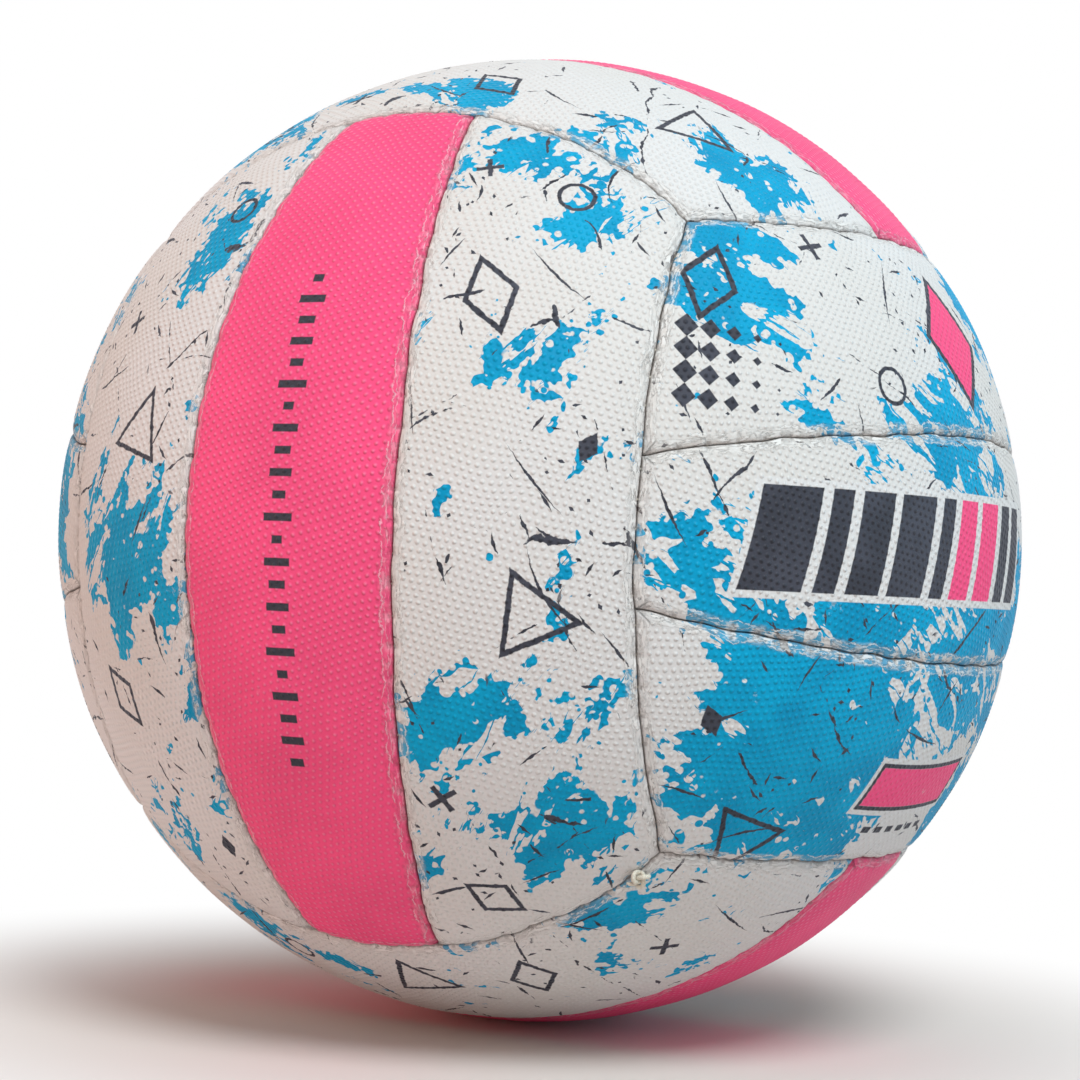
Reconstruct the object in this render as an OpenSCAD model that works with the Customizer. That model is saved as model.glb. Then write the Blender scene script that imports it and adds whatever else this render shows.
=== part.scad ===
// Hand-stitched netball: six faces of three strips, eighteen panels in all.
// Each panel is a grip skin bonded to a cloth lining, with its edges turned in along the seams.
// Thread closes the seams, and an air bladder with a rubber valve fills the inside.
// The origin is the ball's centre, +Z is up, and the front face looks along -Y.

/* [Ball] */
// Distance round the ball
ball_circumference = 700; // [680:1:720]
// How far a face's long sides are drawn in at mid length, measured over the ball
side_bow = 15.3; // [10:0.1:20]
// Width of each middle strip, measured over the ball
middle_strip_w = 49.3; // [44:0.1:56]

/* [Panels] */
// Thickness of the grip skin
skin_t = 1.0; // [0.8:0.05:1.4]
// Thickness of the cloth lining
lining_t = 1.6; // [1.2:0.05:2]
// How far from a seam's middle a panel's surface starts to turn down
shoulder_w = 2.75; // [2.4:0.05:3]
// Depth of that turn at half this distance
shoulder_mid_depth = 0.45; // [0.4:0.05:0.6]
// Depth where the turn ends and the panels stand side by side
shoulder_depth = 1.8; // [1.6:0.05:2]
// How deep the turned-in edges reach below the ball's surface
edge_depth = 4.2; // [3.8:0.1:5]
// Space between two panels in a seam
seam_gap = 0.3; // [0.2:0.05:0.4]
// Radius of the dimple where three faces meet
dimple_r = 3.2; // [2.8:0.1:3.6]
// Depth of that dimple
dimple_depth = 0.9; // [0.7:0.1:1.1]

/* [Stitching] */
// Diameter of the waxed thread laid along a seam
thread_d = 0.7; // [0.6:0.05:0.8]
// Diameter of the cross stitches
stitch_d = 0.5; // [0.4:0.05:0.6]
// Distance between cross stitches
stitch_pitch = 6.2; // [5:0.1:8]
// How far a thread stops short of the seam that it meets
thread_stop = 1.3; // [1.2:0.1:2]
// Diameter of the cord in the closing knot
knot_cord_d = 1.2; // [1:0.05:1.3]
// Width of the closing knot
knot_w = 4.2; // [3.8:0.1:4.6]
// Space between the knot and the stitches under it
knot_rise = 0.1; // [0.05:0.05:0.3]
// Length of the knot's cut ends, from its middle
knot_end_l = 2; // [1.6:0.1:2.4]
// Distance of the knot from the corner where three faces meet, along its seam
knot_corner_l = 6.4; // [5:0.1:8]

/* [Bladder] */
// Wall of the air bladder
bladder_t = 0.5; // [0.4:0.05:0.9]
// Space between the bladder and the turned-in edges
bladder_gap = 0.2; // [0.1:0.05:0.3]
// Diameter of the patch round the valve
patch_d = 38; // [30:1:44]
// Thickness of the patch
patch_t = 1.0; // [0.8:0.1:1.2]

/* [Valve] */
// Diameter of the valve's neck
neck_d = 9; // [8:0.1:10]
// Diameter of the flange inside the bladder
flange_d = 24; // [20:0.5:28]
// Thickness of the flange
flange_t = 1.6; // [1.2:0.1:2]
// Length of neck inside the bladder
neck_inner_l = 7; // [5:0.5:9]
// Diameter of the socket through the neck
socket_d = 5.4; // [5:0.1:6]
// Depth of the valve's end below the ball's surface
valve_recess = 0.5; // [0.3:0.1:1]
// Diameter of the plug's inner head
plug_head_d = 7.6; // [7:0.1:8.4]
// Length of the plug's inner head
plug_head_l = 3; // [2:0.5:4]
// Diameter of the needle channel
needle_d = 2.2; // [1.8:0.1:2.6]
// Length of the self-closing slit at the channel's inner end
slit_l = 3.5; // [2.5:0.5:5]
// Width of the slit
slit_w = 0.2; // [0.1:0.05:0.3]

/* [Hidden] */
// Bonding space between two layers
bond_gap = 0.05;
// Room that a thread or the knot has on each side
thread_room = 0.05;
// Radial room round the valve's neck
neck_room = 0.15;
// Radial room round the plug
plug_room = 0.05;
// How far cutting shapes run past what they cut
overrun = 1;
// Lean of the knot's two cut ends, and their thickness as a share of the cord's
knot_leans = [-35, 35];
knot_end_share = 0.7;
// Radius of the knot's core as a share of its loop's
knot_core_share = 0.75;
$fn = 96;

// Each face: name, turn from the front face, names of its strips, colour of its middle strip
faces = [
    ["front", [0, 0, 0], ["left", "middle", "right"], "hotpink"],
    ["back", [0, 0, 180], ["right", "middle", "left"], "hotpink"],
    ["right", [0, 90, 90], ["upper", "middle", "lower"], "whitesmoke"],
    ["left", [0, 90, -90], ["upper", "middle", "lower"], "whitesmoke"],
    ["top", [-90, 0, -90], ["back", "middle", "front"], "hotpink"],
    ["bottom", [90, 0, 90], ["front", "middle", "back"], "hotpink"]
];
strips = [-1, 0, 1];

function strip_name(face, strip) = str(face[0], "_", face[2][strip + 1]);
function panel_name(face, strip) = str(strip_name(face, strip), "_panel");
function lining_name(face, strip) = str(strip_name(face, strip), "_lining");
function thread_name(face) = str(face[0], "_seam_thread");

ball_r = ball_circumference / (2 * PI);
// Angle at the ball's centre that a length laid over the ball takes
function arc_angle(length) = length / ball_r * 180 / PI;
// Angle from a face's middle to its in-face seams, and to its long sides at mid length
seam_angle = arc_angle(middle_strip_w / 2);
side_angle = 45 - arc_angle(side_bow);

// A long side is a circle on the ball, through two corners where three faces meet.
// Its axis leans by side_tilt, and it lies at side_latitude seen from that axis.
corner = ball_r / sqrt(3);
side_tilt = atan2(ball_r * sin(side_angle) - corner, ball_r * cos(side_angle) - corner);
side_offset = corner * (cos(side_tilt) - sin(side_tilt));
side_latitude = asin(side_offset / ball_r);
side_half_arc = asin(corner / ball_r / cos(side_latitude));
// Sphere on that axis that meets the ball's surface squarely along the long side
side_sphere_r = ball_r / tan(side_latitude);
side_sphere_offset = ball_r / sin(side_latitude);
// Half the arc of an in-face seam, up to the long side of the face that it ends on
seam_rise = norm([cos(side_tilt) * cos(seam_angle), sin(side_tilt)]);
seam_half_arc = acos(side_offset / ball_r / seam_rise)
    - atan2(sin(side_tilt), cos(side_tilt) * cos(seam_angle));

// Profile of a panel's edge: distance from the seam's middle, and depth below the ball's surface
edge_profile = [
    [shoulder_w, 0],
    [shoulder_w / 2, shoulder_mid_depth],
    [seam_gap / 2, shoulder_depth]
];

bladder_r = ball_r - edge_depth - bladder_gap;
bladder_inner_r = bladder_r - bladder_t;
neck_r = neck_d / 2;
neck_top = ball_r - valve_recess;
neck_bottom = bladder_inner_r - neck_inner_l;
plug_bottom = neck_bottom - bond_gap - plug_head_l;
plug_r = socket_d / 2 - plug_room;

thread_r = thread_d / 2;
stitch_r = stitch_d / 2;
// The thread lies as deep in the crease as its walls let it, with the stitches on top
crease_slope = atan2(shoulder_depth - shoulder_mid_depth, (shoulder_w - seam_gap) / 2);
thread_depth = shoulder_depth
    - (thread_r + thread_room - seam_gap / 2 * sin(crease_slope)) / cos(crease_slope);
stitch_depth = thread_depth - thread_r - thread_room - stitch_r;
// Half the width of the crease at a depth
function crease_at(depth) = seam_gap / 2 + (shoulder_depth - depth) / tan(crease_slope);
stitch_half_l = crease_at(stitch_depth + stitch_r) - thread_room;

// Turns a seam's own frame, with its axis along Z and its middle on +X, to a front seam
module about_seam(tilt) {
    rotate([0, 90, tilt]) rotate(-90) children();
}

// The same for the seam along a panel's upper end, which is the upper face's long side
module about_end_seam() {
    rotate([90 + side_tilt, 0, 0]) rotate(90) children();
}

// Sphere behind a long side, grown by a length
module side_sphere(growth) {
    translate([0, 0, side_sphere_offset]) sphere(r = side_sphere_r + growth);
}

// Part of the shell between two depths, from one angle right of the front to another
module shell_sector(near, far, outer, inner) {
    top = 90 - side_angle / 2;
    rotate(near - 90) rotate_extrude(angle = far - near) difference() {
        circle(r = ball_r - outer);
        circle(r = ball_r - inner);
        translate([-ball_r, -ball_r]) square([ball_r + ball_r * cos(top), 2 * ball_r]);
    }
}

// Ball on a seam's axis whose surface bevels a panel's edge between two points of the profile.
// The seam lies at a latitude, and side is 1 if the panel is nearer the axis' upper pole.
module bevel(i, latitude, side, depth) {
    high = edge_point(i, latitude, side);
    low = edge_point(i + 1, latitude, side);
    middle = (high * high - low * low) / (high[1] - low[1]) / 2;
    translate([0, 0, middle]) sphere(r = norm(high - [0, middle]) - depth);
}
function edge_point(i, latitude, side) =
    let (angle = latitude + side * arc_angle(edge_profile[i][0]))
    (ball_r - edge_profile[i][1]) * [cos(angle), sin(angle)];

// The shell between two depths inside a strip's seams: a middle strip, or the one right of it
module strip_block(is_side, outer, inner) {
    inset = seam_gap / 2 + outer;
    near = arc_angle(inset) + (is_side ? seam_angle : -seam_angle);
    difference() {
        intersection() {
            shell_sector(near, is_side ? 90 - side_angle : -near, outer, inner);
            end_form(inset, outer);
            mirror([0, 0, 1]) end_form(inset, outer);
            about_seam(seam_angle) bevel(0, 0, is_side ? 1 : -1, outer);
            about_seam(seam_angle) bevel(1, 0, is_side ? 1 : -1, outer);
            far_bevel(is_side, 0, outer);
            far_bevel(is_side, 1, outer);
        }
        if (is_side) about_seam(side_tilt) side_sphere(inset);
    }
}

// What bounds a panel at its upper end
module end_form(inset, depth) {
    about_end_seam() intersection() {
        side_sphere(-inset);
        bevel(0, side_latitude, 1, depth);
        bevel(1, side_latitude, 1, depth);
    }
}

// Bevels along a panel's left seam if it is a middle strip, or along its long side
module far_bevel(is_side, i, depth) {
    if (is_side) about_seam(side_tilt) bevel(i, side_latitude, -1, depth);
    else about_seam(-seam_angle) bevel(i, 0, 1, depth);
}

// Dimple at the front face's upper right corner, where three faces meet
module corner_dimple() {
    rotate([0, 0, -45]) rotate([0, acos(corner / ball_r), 0])
        translate([0, 0, ball_r + dimple_r - dimple_depth]) sphere(r = dimple_r);
}

// Layer between two depths, turned in along its edges down to the edge depth
module formed_layer(is_side, outer, inner) {
    difference() {
        strip_block(is_side, outer, edge_depth);
        strip_block(is_side, inner, edge_depth + overrun);
        children();
    }
}

// Turns and mirrors a strip of the front face to its place, with an eye if it holds the valve
module in_place(face, strip) {
    rotate(face[1]) mirror([strip < 0 ? 1 : 0, 0, 0]) difference() {
        children();
        if (face[0] == "back" && strip == 0)
            rotate([90, 0, 0]) cylinder(h = ball_r + overrun, r = neck_r + neck_room);
    }
}

module panel(face, strip) {
    is_side = strip != 0;
    color(is_side ? "whitesmoke" : face[3]) in_place(face, strip)
        formed_layer(is_side, 0, skin_t) {
            if (is_side) corner_dimple();
            if (is_side) mirror([0, 0, 1]) corner_dimple();
        }
}

module lining(face, strip) {
    color("wheat") in_place(face, strip)
        formed_layer(strip != 0, skin_t + bond_gap, skin_t + bond_gap + lining_t);
}

// Thread along one seam, with its cross stitches, in the seam's own frame
module stitched_thread(latitude, half_arc) {
    circle_r = ball_r * cos(latitude);
    half_angle = half_arc - thread_stop / circle_r * 180 / PI;
    pitch_angle = stitch_pitch / circle_r * 180 / PI;
    half_count = floor(half_angle / pitch_angle - 1 / 2);
    rotate(-half_angle) rotate_extrude(angle = 2 * half_angle)
        rotate(latitude) translate([ball_r - thread_depth, 0]) circle(r = thread_r);
    for (i = [-half_count:half_count])
        rotate(i * pitch_angle) rotate([0, -latitude, 0])
            translate([ball_r - stitch_depth, 0, 0])
                cylinder(h = 2 * stitch_half_l, r = stitch_r, center = true);
}

// The two in-face seams of a face and its two long sides
module face_thread(face) {
    color("ivory") rotate(face[1]) for (side = [0, 1]) mirror([side, 0, 0]) {
        about_seam(seam_angle) stitched_thread(0, seam_half_arc);
        about_seam(side_tilt) stitched_thread(side_latitude, side_half_arc);
    }
}

// Knot with a loop round its core and two cut ends, on the front face's lower end seam, to the right
module closing_knot() {
    cord_r = knot_cord_d / 2;
    loop_r = knot_w / 2 - cord_r;
    core_r = loop_r * knot_core_share;
    from_corner = knot_corner_l / (ball_r * cos(side_latitude)) * 180 / PI;
    color("ivory") mirror([0, 0, 1]) about_end_seam()
        rotate(from_corner - side_half_arc) rotate([0, 90 - side_latitude, 0])
            translate([0, 0, ball_r - stitch_depth + stitch_r + knot_rise + core_r]) {
                rotate_extrude() translate([loop_r, 0]) circle(r = cord_r);
                sphere(r = core_r);
                for (lean = knot_leans)
                    rotate([lean, 0, 0]) cylinder(h = knot_end_l, r = cord_r * knot_end_share);
            }
}

// Turns a piece drawn along +Z to the valve's axis, which is +Y
module along_valve() {
    rotate([-90, 0, 0]) children();
}

module bladder() {
    color("dimgray") difference() {
        sphere(r = bladder_r);
        sphere(r = bladder_inner_r);
        along_valve() cylinder(h = ball_r + overrun, r = neck_r + neck_room);
    }
}

// Disc bent to the ball's curve, between two radii
module curved_disc(outer_r, inner_r, d) {
    difference() {
        intersection() {
            sphere(r = outer_r);
            cylinder(h = ball_r + overrun, r = d / 2);
        }
        sphere(r = inner_r);
    }
}

module valve_patch() {
    color("black") along_valve() difference() {
        curved_disc(bladder_r + bond_gap + patch_t, bladder_r + bond_gap, patch_d);
        cylinder(h = ball_r + overrun, r = neck_r + neck_room);
    }
}

module valve_seat() {
    flange_outer = bladder_inner_r - bond_gap;
    color("black") along_valve() difference() {
        union() {
            translate([0, 0, neck_bottom]) cylinder(h = neck_top - neck_bottom, r = neck_r);
            curved_disc(flange_outer, flange_outer - flange_t, flange_d);
        }
        cylinder(h = ball_r + overrun, r = socket_d / 2);
    }
}

module valve_plug() {
    color("gray") along_valve() difference() {
        union() {
            translate([0, 0, plug_bottom]) cylinder(h = neck_top - plug_bottom, r = plug_r);
            translate([0, 0, plug_bottom]) cylinder(h = plug_head_l, r = plug_head_d / 2);
        }
        translate([0, 0, plug_bottom + slit_l]) cylinder(h = ball_r + overrun, r = needle_d / 2);
        translate([-slit_w / 2, -needle_d / 2, plug_bottom - overrun])
            cube([slit_w, needle_d, slit_l + 2 * overrun]);
    }
}

for (face = faces, strip = strips) {
    panel(face, strip);
    lining(face, strip);
}
for (face = faces)
    face_thread(face);
closing_knot();
bladder();
valve_patch();
valve_seat();
valve_plug();
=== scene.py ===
"""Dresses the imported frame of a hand-stitched netball: grip skins, stitching, knot, finishes and studio."""

import functools
import math

import bpy
import numpy as np
from mathutils import Matrix, Vector
from mathutils.geometry import delaunay_2d_cdt


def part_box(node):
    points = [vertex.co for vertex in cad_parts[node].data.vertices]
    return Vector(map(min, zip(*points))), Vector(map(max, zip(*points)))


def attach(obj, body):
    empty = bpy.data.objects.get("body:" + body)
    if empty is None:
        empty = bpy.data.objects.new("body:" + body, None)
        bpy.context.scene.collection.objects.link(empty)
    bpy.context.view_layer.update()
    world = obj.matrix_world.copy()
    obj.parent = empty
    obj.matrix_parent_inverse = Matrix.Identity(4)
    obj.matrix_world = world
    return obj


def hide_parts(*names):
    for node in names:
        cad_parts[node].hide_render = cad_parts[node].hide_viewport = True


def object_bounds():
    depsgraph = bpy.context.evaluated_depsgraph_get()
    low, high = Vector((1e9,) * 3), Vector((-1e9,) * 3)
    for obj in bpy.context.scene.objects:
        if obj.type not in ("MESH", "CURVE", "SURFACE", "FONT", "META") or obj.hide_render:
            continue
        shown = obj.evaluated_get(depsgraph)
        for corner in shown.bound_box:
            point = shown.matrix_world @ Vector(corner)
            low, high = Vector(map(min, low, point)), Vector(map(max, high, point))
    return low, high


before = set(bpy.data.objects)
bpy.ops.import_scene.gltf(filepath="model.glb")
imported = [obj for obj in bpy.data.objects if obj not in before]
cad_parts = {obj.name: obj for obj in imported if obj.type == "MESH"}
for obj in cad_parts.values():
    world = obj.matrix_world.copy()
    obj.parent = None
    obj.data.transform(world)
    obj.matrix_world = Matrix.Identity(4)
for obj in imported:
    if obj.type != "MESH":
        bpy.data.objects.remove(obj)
CAD_BOX = [list(corner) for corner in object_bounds()]

bl_info = {
    "name": "Stitched Netball",
    "version": (1, 0, 0),
    "blender": (4, 5, 0),
    "location": "3D View > Sidebar > Netball",
    "description": "Builds the skins, stitching, knot and studio of a hand-stitched netball",
    "category": "Object",
}

MM = 0.001
BALL_R = CAD_BOX[1][2]
ROOT = "root"

# Each face: name, turn from the front face, names of its strips from left to right, pink middle
FACES = [
    ("front", (0, 0, 0), ("left", "middle", "right"), True),
    ("back", (0, 0, 180), ("right", "middle", "left"), True),
    ("right", (0, 90, 90), ("upper", "middle", "lower"), False),
    ("left", (0, 90, -90), ("upper", "middle", "lower"), False),
    ("top", (-90, 0, -90), ("back", "middle", "front"), True),
    ("bottom", (90, 0, 90), ("front", "middle", "back"), True),
]


def length_setting(name, description, default, low, high):
    """A size in the sidebar, given in millimetres and kept in metres."""
    return bpy.props.FloatProperty(name=name, description=description, default=default * MM,
                                   min=low * MM, max=high * MM, precision=4, unit="LENGTH")


def colour_setting(name, description, default):
    """A colour in the sidebar."""
    return bpy.props.FloatVectorProperty(name=name, description=description, default=default,
                                         size=3, min=0, max=1, subtype="COLOR")


def share_setting(name, description, default):
    """A value from 0 to 1 in the sidebar."""
    return bpy.props.FloatProperty(name=name, description=description, default=default,
                                   min=0, max=1, subtype="FACTOR")


class NetballSizes(bpy.types.PropertyGroup):
    """Sizes of the skins and of the thread"""

    middle_width: length_setting(
        "Middle strip width", "Width of each middle strip over the ball", 49.3, 44, 56)
    side_bow: length_setting(
        "Side bow", "How far a face's long sides are drawn in at mid length", 15.3, 10, 20)
    skin_thickness: length_setting(
        "Skin thickness", "From the tops of the pimples to the lining", 1.0, 0.8, 1.4)
    edge_depth: length_setting("Edge depth", "How deep the turned-in edges reach", 4.2, 3.8, 5)
    seam_gap: length_setting("Seam gap", "Space between two panels in a seam", 0.2, 0.1, 0.4)
    shoulder_width: length_setting(
        "Shoulder width", "Distance over which an edge rounds into its seam", 2.0, 1.5, 4)
    shoulder_depth: length_setting(
        "Shoulder depth", "How far the rounding takes an edge down", 0.68, 0.5, 2)
    crown: length_setting("Crown", "How far a panel's edges lie below its crowned middle", 0.35, 0, 1)
    crown_reach: length_setting(
        "Crown reach", "Distance from the seam over which the crown levels out", 5, 2, 15)
    pimple_pitch: length_setting("Pimple pitch", "Distance between two grip pimples", 1.7, 1.5, 3)
    pimple_height: length_setting("Pimple height", "Height of a grip pimple", 0.10, 0, 0.25)
    stitch_pitch: length_setting("Stitch pitch", "Distance between two stitches", 6.2, 5, 8)
    stitch_dent: length_setting("Stitch dent", "How far a stitch pulls the panels down", 0.36, 0, 0.8)
    seam_waver: length_setting(
        "Seam waver", "How far hand stitching pulls the seams from smooth curves", 0.22, 0, 0.6)
    thread_width: length_setting("Thread width", "Diameter of the waxed thread", 0.62, 0.4, 0.8)
    thread_depth: length_setting(
        "Thread depth", "How deep the thread lies below the ball's surface", 2.9, 1.4, 3.5)
    cord_width: length_setting(
        "Knot cord width", "Diameter of the cord in the closing knot", 1.16, 0.8, 1.5)
    eye_width: length_setting("Eye width", "Diameter of the eye round the valve", 9.3, 8.3, 10.3)


class NetballFinish(bpy.types.PropertyGroup):
    """Colours and gloss of the skins, thread and rubber"""

    white: colour_setting("White", "Ground of the printed panels", (0.745, 0.728, 0.722))
    cyan: colour_setting("Cyan", "Splashes of the print", (0.0, 0.328, 0.600))
    charcoal: colour_setting("Charcoal", "Scratches and shapes of the print", (0.045, 0.047, 0.062))
    pink: colour_setting("Pink", "Plain middle strips", (0.97, 0.092, 0.250))
    thread: colour_setting("Thread", "Waxed thread and knot", (0.80, 0.75, 0.63))
    lining: colour_setting("Lining", "Cloth behind the skins", (0.62, 0.56, 0.43))
    rubber: colour_setting("Rubber", "Bladder and valve", (0.022, 0.022, 0.024))
    skin_roughness: share_setting("Skin roughness", "Roughness of the grip skins", 0.48)
    rubber_roughness: share_setting("Rubber roughness", "Roughness of the bladder and valve", 0.55)


# Shape of the panels


def turned(angles):
    """Rotation about X, then Y, then Z, in degrees, as an array."""
    a, b, c = (math.radians(angle) for angle in angles)
    turn = Matrix.Rotation(c, 3, "Z") @ Matrix.Rotation(b, 3, "Y") @ Matrix.Rotation(a, 3, "X")
    return np.array(turn)


def unit(vectors):
    return vectors / np.linalg.norm(vectors, axis=-1, keepdims=True)


class Seam:
    """A circle on the ball: its axis, its latitude from there, its middle and which side is the panel's."""

    def __init__(self, axis, latitude, middle, side):
        self.axis, self.latitude, self.side = np.array(axis, float), latitude, side
        middle = np.array(middle, float)
        self.ahead = unit(middle - self.axis * (middle @ self.axis))
        self.along = np.cross(self.axis, self.ahead)

    def distance(self, way):
        """How far inside the seam a direction lies, over the ball."""
        up = np.clip(way @ self.axis, -1, 1)
        return self.side * (np.arcsin(up) - self.latitude) * BALL_R

    def run(self, way):
        """How far along the seam a direction lies, from the seam's middle."""
        return np.arctan2(way @ self.along, way @ self.ahead) * BALL_R * math.cos(self.latitude)

    def inset(self, distance):
        return math.sin(self.latitude + self.side * distance / BALL_R)

    def at(self, run, depth):
        """Point on the seam, at a distance along it and a depth below the ball."""
        angle = run / (BALL_R * math.cos(self.latitude))
        ring = math.cos(self.latitude) * (math.cos(angle) * self.ahead + math.sin(angle) * self.along)
        return (ring + math.sin(self.latitude) * self.axis) * (BALL_R - depth)


def crossing(first, second, near, distance=0.0):
    """Where two seams meet, both moved in by a distance, at the crossing nearer a direction."""
    a, b, n, m = first.inset(distance), second.inset(distance), first.axis, second.axis
    both = n @ m
    base = ((a - b * both) * n + (b - a * both) * m) / (1 - both * both)
    across = np.cross(n, m)
    across *= math.sqrt(max(0.0, 1 - base @ base)) / np.linalg.norm(across)
    return max((base + across, base - across), key=lambda way: way @ near)


@functools.lru_cache
def seams_of_face(middle_width, side_bow):
    """The front face's seams: in-face, long side, upper end and lower end, right of the middle."""
    half, side = middle_width / 2 / BALL_R, math.pi / 4 - side_bow / BALL_R
    corner = BALL_R / math.sqrt(3)
    tilt = math.atan2(BALL_R * math.sin(side) - corner, BALL_R * math.cos(side) - corner)
    latitude = math.asin(corner * (math.cos(tilt) - math.sin(tilt)) / BALL_R)
    end = math.pi / 2 - latitude - tilt
    far = latitude + tilt
    return {
        "in_face": ((math.cos(half), math.sin(half), 0), 0.0, (math.sin(half), -math.cos(half), 0)),
        "in_face_left": ((math.cos(half), -math.sin(half), 0), 0.0, (-math.sin(half), -math.cos(half), 0)),
        "long": ((math.cos(tilt), math.sin(tilt), 0), latitude, (math.sin(far), -math.cos(far), 0)),
        "upper": ((0, -math.cos(tilt), -math.sin(tilt)), latitude, (0, -math.cos(end), math.sin(end))),
        "lower": ((0, -math.cos(tilt), math.sin(tilt)), latitude, (0, -math.cos(end), -math.sin(end))),
        "half": half,
        "far": far,
    }


def closed_quads(outside, inside):
    """Quads between two rings of as many points, the outer one first, facing out of the ball."""
    a, b = np.asarray(outside), np.asarray(inside)
    return np.stack([a, np.roll(a, -1), np.roll(b, -1), b], 1)


def filled(flat, loop, hole=()):
    """Triangles over flat points inside a loop of them, and outside a hole of them."""
    rings = (loop, hole) if len(hole) else (loop,)
    edges = [(int(a), int(b)) for ring in rings for a, b in zip(ring, np.roll(ring, -1))]
    made = delaunay_2d_cdt([Vector(p) for p in flat], edges, [], 1, 1e-9)
    source = [given[0] for given in made[3]]
    faces = np.array([[source[i] for i in face] for face in made[2]])
    faces = faces[~np.isin(faces, hole).all(1)]
    a, b, c = (flat[faces[:, i]] for i in range(3))
    area = (b - a)[:, 0] * (c - a)[:, 1] - (b - a)[:, 1] * (c - a)[:, 0]
    faces[area < 0] = faces[area < 0][:, ::-1]
    return faces


class StripShape:
    """Points and faces of the front face's middle strip, or of the strip right of it."""

    # Distances from the seam of the rings that round an edge off, and the step along them
    OUTER_RINGS = (0.0, 0.14, 0.38, 0.7, 1.1, 1.6, 2.2, 2.9)
    # Rings of the turned-in edge's inner side: distance from the edge, and depth in skin thicknesses
    INNER_RINGS = ((2.15, 1.02), (0.79, 1.32), (0.0, 2.18))
    RING_STEP = 0.62 * MM
    COARSE_STEP, COARSE_CLEAR = 7 * MM, 3.5 * MM
    # Half length and half width that a strip's points are laid out over
    FIELD = (105 * MM, 70 * MM)
    # Depth of the skin's inner side, in skin thicknesses
    BACK = 1.02
    EYE_SIDES = 48
    # Rings of points round the eye, by their distance from it, and the width they keep clear of pimples
    EYE_LIPS, EYE_CLEAR = (0.25, 0.6, 1.0), 1.3
    # Turn of the pimple rows in a middle strip and in a side strip, and how far rows stray
    ROW_TURNS = (17, -11)
    ROW_STRAY, STRAY_WAVES = 0.26 * MM, (13 * MM, 32 * MM)

    def __init__(self, size, is_side, has_eye):
        plan = seams_of_face(size.middle_width, size.side_bow)
        seam = {name: plan[name] for name in ("in_face", "in_face_left", "long", "upper", "lower")}
        middle = (plan["half"] + plan["far"]) / 2 if is_side else 0.0
        self.out = np.array([math.sin(middle), -math.cos(middle), 0.0])
        self.wide = np.array([math.cos(middle), math.sin(middle), 0.0])
        self.long = np.array([0.0, 0.0, 1.0])
        right = Seam(*seam["long"], -1) if is_side else Seam(*seam["in_face"], -1)
        left = Seam(*seam["in_face"], 1) if is_side else Seam(*seam["in_face_left"], 1)
        self.seams = [right, Seam(*seam["upper"], 1), left, Seam(*seam["lower"], 1)]
        self.is_side = is_side
        row_turn = math.radians(self.ROW_TURNS[is_side])
        c, s = math.cos(row_turn), math.sin(row_turn)
        self.rows = np.array([[c, s], [-s, c]])
        self.gap = size.seam_gap / 2
        self.ways, self.depths, self.faces, self.pimples = [], [], [], []
        self.count = 0
        self.build(size, has_eye)

    def corners(self, distance):
        """The strip's corners, moved in, with corner i at the start of side i."""
        up = self.long * 0.6
        rough = [self.wide - up * 2, self.wide + up * 2, up * 2 - self.wide, -self.wide - up * 2]
        return [crossing(self.seams[i - 1], self.seams[i], rough[i] + self.out, distance) for i in range(4)]

    def ring(self, distance):
        corners, ways = self.corners(distance), []
        for i, seam in enumerate(self.seams):
            start, stop = (seam.run(corners[j % 4]) for j in (i, i + 1))
            runs = np.linspace(start, stop, self.counts[i] + 1)[:-1]
            angle = (runs / (BALL_R * math.cos(seam.latitude)))[:, None]
            up = seam.inset(distance)
            flat = math.sqrt(1 - up * up) * (np.cos(angle) * seam.ahead + np.sin(angle) * seam.along)
            ways.append(flat + up * seam.axis)
        return np.concatenate(ways)

    def add(self, ways, depth=None, pimples=None):
        """Adds points below the ball: a depth, or none where the relief of the skin gives it."""
        n = len(ways)
        self.ways.append(ways)
        self.depths.append(np.full(n, np.nan if depth is None else depth))
        self.pimples.append(np.zeros(n, bool) if pimples is None else pimples)
        self.count += n
        return np.arange(self.count - n, self.count)

    def flat(self, ways):
        """Places over the ball along the strip's width and length."""
        return np.stack([np.arcsin(np.clip(ways @ self.wide, -1, 1)),
                         np.arctan2(ways @ self.long, ways @ self.out)], 1) * BALL_R

    def way(self, flat):
        a, b = (flat / BALL_R).T[..., None]
        return np.cos(a) * (np.cos(b) * self.out + np.sin(b) * self.long) + np.sin(a) * self.wide

    def stray(self, flat):
        """How far the rows of pimples stray from straight lines at a place."""
        places = np.concatenate([flat, np.zeros((len(flat), 1))], 1)
        return self.ROW_STRAY * np.stack([ripple(places, self.STRAY_WAVES, seed) for seed in (3, 4)], 1)

    def grip(self, flat):
        """Place along and across the rows of pimples."""
        straight = flat - self.stray(flat)
        return (flat - self.stray(straight)) @ self.rows.T

    def edge_distance(self, ways):
        return np.min([seam.distance(ways) for seam in self.seams], 0)

    def lattice(self, step, clear):
        """Staggered points inside the seams, and which of them stand on every second place."""
        rise = step * math.sqrt(3) / 2
        rows, columns = int(self.FIELD[0] / rise), int(self.FIELD[1] / step)
        j, i = np.meshgrid(np.arange(-rows, rows + 1), np.arange(-columns, columns + 1), indexing="ij")
        flat = np.stack([(i + (j % 2) / 2) * step, j * rise], -1).reshape(-1, 2) @ self.rows
        flat = flat + self.stray(flat)
        tops = ((j % 4 == 0) & (i % 2 == 0)) | ((j % 4 == 2) & (i % 2 == 1))
        keep = self.edge_distance(self.way(flat)) > clear
        return flat[keep], tops.reshape(-1)[keep]

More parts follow.
